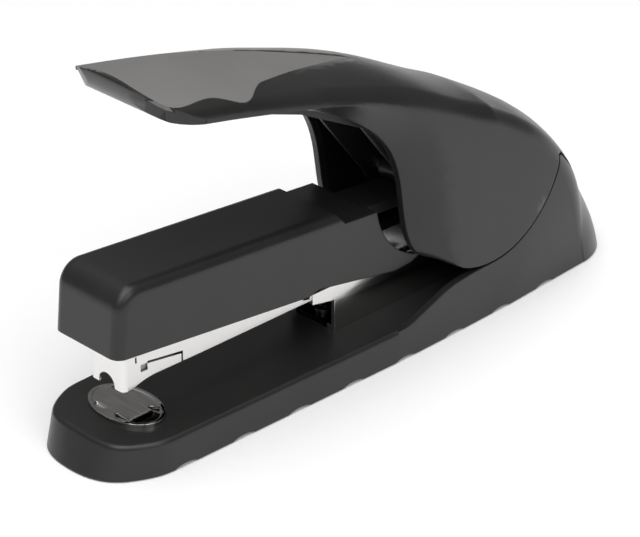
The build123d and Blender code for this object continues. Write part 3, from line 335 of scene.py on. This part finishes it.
def spring_wire():
    """The springs: dark drawn wire with patches of oil."""
    tree = new_tree("spring_wire")
    where = tree.place()
    drawn = tree.noise(where, scale=1800.0, detail=3.0)
    oil = tree.noise(where, scale=140.0, detail=4.0)
    colour = tree.fade(oil, 0.4, 0.7, grey(0.07, 0.02), grey(0.13, 0.04))
    normal = tree.relief(drawn, depth=0.00001, edge=0.0001)
    return tree.surface(Base_Color=colour, Metallic=1.0, Roughness=0.28 + 0.15 * oil, Normal=normal)


def natural_nylon():
    """The pusher: uncoloured nylon."""
    tree = new_tree("natural_nylon")
    where = tree.place()
    cloud = tree.noise(where, scale=90.0, detail=3.0)
    grain = tree.noise(where, scale=3000.0, detail=2.0)
    colour = tree.mix(cloud, grey(0.66, 0.03), grey(0.76, 0.04))
    normal = tree.relief(grain, depth=0.00002, edge=0.0003)
    return tree.surface(Base_Color=colour, Roughness=0.42 + 0.12 * cloud, Normal=normal)


# One finish to each material slot of the record
FINISHES = {
    "black_plastic": satin_black_plastic(),
    "grip_grey": matt_grey_grip(),
    "sole_rubber": matt_sole_rubber(),
    "bright_steel": rolled_steel(
        "bright_steel", level=0.80, warmth=0.015, rough_low=0.07, rough_range=0.06, shaded_inside=True
    ),
    "plated_steel": rolled_steel(
        "plated_steel", level=0.42, warmth=0.01, rough_low=0.20, rough_range=0.12
    ),
    "black_steel": black_steel_and_painted_shade(),
    "tool_steel": rolled_steel(
        "tool_steel", level=0.40, warmth=0.01, rough_low=0.24, rough_range=0.12
    ),
    "spring_steel": spring_wire(),
    "white_nylon": natural_nylon(),
    "polished_steel": polished_chrome(),
}


def only(piece):
    """Make one object the whole selection."""
    bpy.ops.object.select_all(action="DESELECT")
    piece.select_set(True)
    bpy.context.view_layer.objects.active = piece


def add_primitive(operator, **settings):
    """Add a primitive with nothing else selected."""
    bpy.ops.object.select_all(action="DESELECT")
    operator(**settings)
    return bpy.context.object


def shape_mesh(piece, *steps):
    """Run edit-mode steps on a whole mesh, each an operator with its settings."""
    only(piece)
    bpy.ops.object.mode_set(mode="EDIT")
    bpy.ops.mesh.select_all(action="SELECT")
    for operator, settings in steps:
        operator(**settings)
    bpy.ops.object.mode_set(mode="OBJECT")


def size_and_place(piece, size, place):
    """Scale a mesh from its middle and then move it to its place."""
    resize = (bpy.ops.transform.resize, {"value": size})
    move = (bpy.ops.transform.translate, {"value": place})
    shape_mesh(piece, resize, move)


def select_top_face(piece):
    """Select the highest face of a mesh alone."""
    only(piece)
    bpy.context.tool_settings.mesh_select_mode = (False, False, True)
    bpy.ops.object.mode_set(mode="EDIT")
    bpy.ops.mesh.select_all(action="DESELECT")
    bpy.ops.object.mode_set(mode="OBJECT")
    top = max(piece.data.polygons, key=lambda face: face.center.z)
    top.select = True


def apply_modifier(piece, kind, **settings):
    """Add a modifier with its settings and apply it."""
    only(piece)
    modifier = piece.modifiers.new(kind.lower(), kind)
    for name, value in settings.items():
        setattr(modifier, name, value)
    bpy.ops.object.modifier_apply(modifier=modifier.name)


def even_shading(piece):
    """Let large faces set the shading along the soft lines between them."""
    apply_modifier(piece, "WEIGHTED_NORMAL", keep_sharp=True, weight=LARGE_FACES_FIRST)


def carve(piece, cutter):
    """Take a cutter out of a piece and remove the cutter."""
    apply_modifier(piece, "BOOLEAN", object=cutter, operation="DIFFERENCE", solver="EXACT")
    bpy.data.objects.remove(cutter, do_unlink=True)


def copy_node(node, name):
    """A merged copy of a CAD node, for a piece that stands for it."""
    original = frame["nodes"][node]
    piece = original.copy()
    piece.data = original.data.copy()
    piece.name = name
    bpy.context.scene.collection.objects.link(piece)
    shape_mesh(piece, (bpy.ops.mesh.remove_doubles, {"threshold": MERGE_DISTANCE}))
    return piece


def hand_over(piece, body, node, slot, soft_line=SOFT_LINE):
    """Finish a piece: shading, material, the body that it moves with and the node that it stands for."""
    only(piece)
    bpy.ops.object.shade_smooth_by_angle(angle=soft_line)
    piece.data.materials.clear()
    piece.data.materials.append(FINISHES[slot])
    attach(piece, body)
    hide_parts(node)


def groove_cutter(place, bend):
    """A bean-shaped cutter for one staple groove of the anvil."""
    cutter = add_primitive(bpy.ops.mesh.primitive_uv_sphere_add, segments=48, ring_count=24, radius=1.0)
    shape_mesh(cutter, (bpy.ops.transform.resize, {"value": GROOVE_HALF_SIZE}))
    apply_modifier(cutter, "SIMPLE_DEFORM", deform_method="BEND", deform_axis="Z", angle=bend)
    quarter_turn = {"value": math.pi / 2, "orient_axis": "Z", "center_override": (0.0, 0.0, 0.0)}
    move = (bpy.ops.transform.translate, {"value": place})
    shape_mesh(cutter, (bpy.ops.transform.rotate, quarter_turn), move)
    return cutter


def shape_anvil():
    """The anvil: an oval polished plate with a rounded rim, a sunk top and four staple grooves."""
    low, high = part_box("anvil_plate")
    centre_x, centre_y = (low[0] + high[0]) / 2, (low[1] + high[1]) / 2
    anvil = add_primitive(bpy.ops.mesh.primitive_cylinder_add, vertices=128, radius=0.5, depth=1.0)
    anvil.name = "anvil_dish"
    size = (high[0] - low[0], high[1] - low[1], ANVIL_WALL)
    size_and_place(anvil, size, (centre_x, centre_y, high[2] - ANVIL_WALL / 2))
    select_top_face(anvil)
    bpy.ops.object.mode_set(mode="EDIT")
    bpy.ops.mesh.inset(thickness=ANVIL_RIM)
    bpy.ops.mesh.inset(thickness=ANVIL_SINK, depth=-ANVIL_SINK)
    bpy.ops.object.mode_set(mode="OBJECT")
    for (x, y), bend in GROOVES.items():
        for side in (-1.0, 1.0):
            place = (centre_x + x, centre_y + side * y, high[2] - ANVIL_SINK + GROOVE_RISE)
            carve(anvil, groove_cutter(place, bend))
    rounding = {"width": EDGE_ROUND, "segments": 4}
    apply_modifier(anvil, "BEVEL", limit_method="ANGLE", angle_limit=ANVIL_CORNER, **rounding)
    hand_over(anvil, "anvil", "anvil_plate", "polished_steel")
    even_shading(anvil)


def shape_sole():
    """The sole pad with rows of tread grooves across its underside."""
    sole = copy_node("sole_pad", "sole_tread")
    low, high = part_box("sole_pad")
    rows = int((high[0] - low[0] - PLAIN_STEPS * TREAD_STEP) / TREAD_STEP)
    cutter = add_primitive(bpy.ops.mesh.primitive_cube_add, size=1.0)
    size_and_place(cutter, TREAD_SIZE, (low[0] + FIRST_TREAD_STEPS * TREAD_STEP, 0.0, low[2]))
    apply_modifier(cutter, "BEVEL", width=EDGE_ROUND, segments=3)
    spacing = {"use_constant_offset": True, "constant_offset_displace": (TREAD_STEP, 0.0, 0.0)}
    apply_modifier(cutter, "ARRAY", count=rows, use_relative_offset=False, **spacing)
    carve(sole, cutter)
    hand_over(sole, "base", "sole_pad", "sole_rubber")


def smooth_handle():
    """The handle shell with the soft lines between its surfaces shaded away."""
    handle = copy_node("handle_shell", "handle_skin")
    hand_over(handle, "handle", "handle_shell", "black_plastic", HANDLE_SOFT_LINE)
    even_shading(handle)


def wind_springs():
    """The three coil springs, each a merged copy of its node, finished and moving with its body."""
    for name, (node, body, joint, axis, fixed_end, keep) in COILS.items():
        coil = copy_node(node, name)
        hand_over(coil, body, node, "spring_steel")
        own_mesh(coil)


def dress_nodes():
    """Give every CAD node the finish of its material slot."""
    for subpart in frame["record"]["subparts"]:
        node = frame["nodes"][subpart["node"]]
        finish = FINISHES[subpart["material_slot"]]
        for slot in node.material_slots:
            slot.material = finish


def lay_floor():
    """A round floor that shows white, also in the metal, and keeps the stapler's shadow."""
    circle = bpy.ops.mesh.primitive_circle_add
    floor = add_primitive(circle, vertices=96, radius=FLOOR_RADIUS, fill_type="NGON")
    floor.name = "studio_floor"
    tree = new_tree("studio_floor")
    cloud = tree.noise(tree.place(), scale=3.0, detail=2.0)
    colour = tree.mix(cloud, grey(0.90), grey(0.92))
    diffuse = tree.node("ShaderNodeBsdfDiffuse", {}, {"Color": colour}, "BSDF")
    seen, mirrored, passed = tree.ray_kinds()
    lift = FLOOR_GLOW * (seen + mirrored + passed).clamped()
    glow = tree.node("ShaderNodeEmission", {}, {"Color": grey(1.0), "Strength": lift}, "Emission")
    both = tree.node("ShaderNodeAddShader", {}, {0: diffuse, 1: glow}, "Shader")
    tree.node("ShaderNodeOutputMaterial", {}, {"Surface": both}, None)
    floor.data.materials.append(tree.owner)


def light_world():
    """A dim studio, paler overhead and behind, on white ground, and white all over to the camera."""
    world = bpy.data.worlds.new("studio")
    bpy.context.scene.world = world
    tree = Tree(world)
    where = tree.node("ShaderNodeTexCoord", {}, {}, "Generated")
    height = tree.coordinate(where, "Z")
    depth = tree.coordinate(where, "Y")
    level = tree.ramp(height, ROOM_LEVELS) + BACK_GLOW * tree.ramp(depth, BACK_LEVELS)
    seen, mirrored, passed = tree.ray_kinds()
    ground = height.under(GROUND_EDGE)
    white = (seen + ground * (mirrored + passed)).clamped()
    colour = tree.mix(white, level, grey(1.0))
    shine = tree.node("ShaderNodeBackground", {}, {"Color": colour, "Strength": 1.0}, "Background")
    tree.node("ShaderNodeOutputWorld", {}, {"Surface": shine}, None)


def hang_lamp(name, place, width, watts):
    """A square soft lamp aimed at the stapler."""
    data = bpy.data.lights.new(name, "AREA")
    data.shape = "SQUARE"
    data.size = width
    data.energy = watts
    lamp = bpy.data.objects.new(name, data)
    lamp.location = place
    lamp.rotation_euler = (VIEW_TARGET - Vector(place)).to_track_quat("-Z", "Y").to_euler()
    bpy.context.scene.collection.objects.link(lamp)


def aim_camera():
    """The photograph's camera."""
    data = bpy.data.cameras.new("photo_camera")
    data.sensor_width = SENSOR_WIDTH
    data.lens = FOCAL_PIXELS / IMAGE_WIDTH * SENSOR_WIDTH
    data.clip_start = NEAR_LIMIT
    data.clip_end = FAR_LIMIT
    camera = bpy.data.objects.new("photo_camera", data)
    back = Vector((
        math.sin(VIEW_AZIMUTH) * math.cos(VIEW_ELEVATION),
        -math.cos(VIEW_AZIMUTH) * math.cos(VIEW_ELEVATION),
        math.sin(VIEW_ELEVATION),
    ))
    camera.location = VIEW_TARGET + VIEW_DISTANCE * back
    camera.rotation_euler = (-back).to_track_quat("-Z", "Y").to_euler()
    bpy.context.scene.collection.objects.link(camera)
    bpy.context.scene.camera = camera


dress_nodes()
shape_anvil()
shape_sole()
smooth_handle()
wind_springs()
lay_floor()
light_world()
for lamp_name, (lamp_place, lamp_width, lamp_watts) in LAMPS.items():
    hang_lamp(lamp_name, lamp_place, lamp_width, lamp_watts)
aim_camera()
bpy.context.scene.view_settings.view_transform = "Standard"
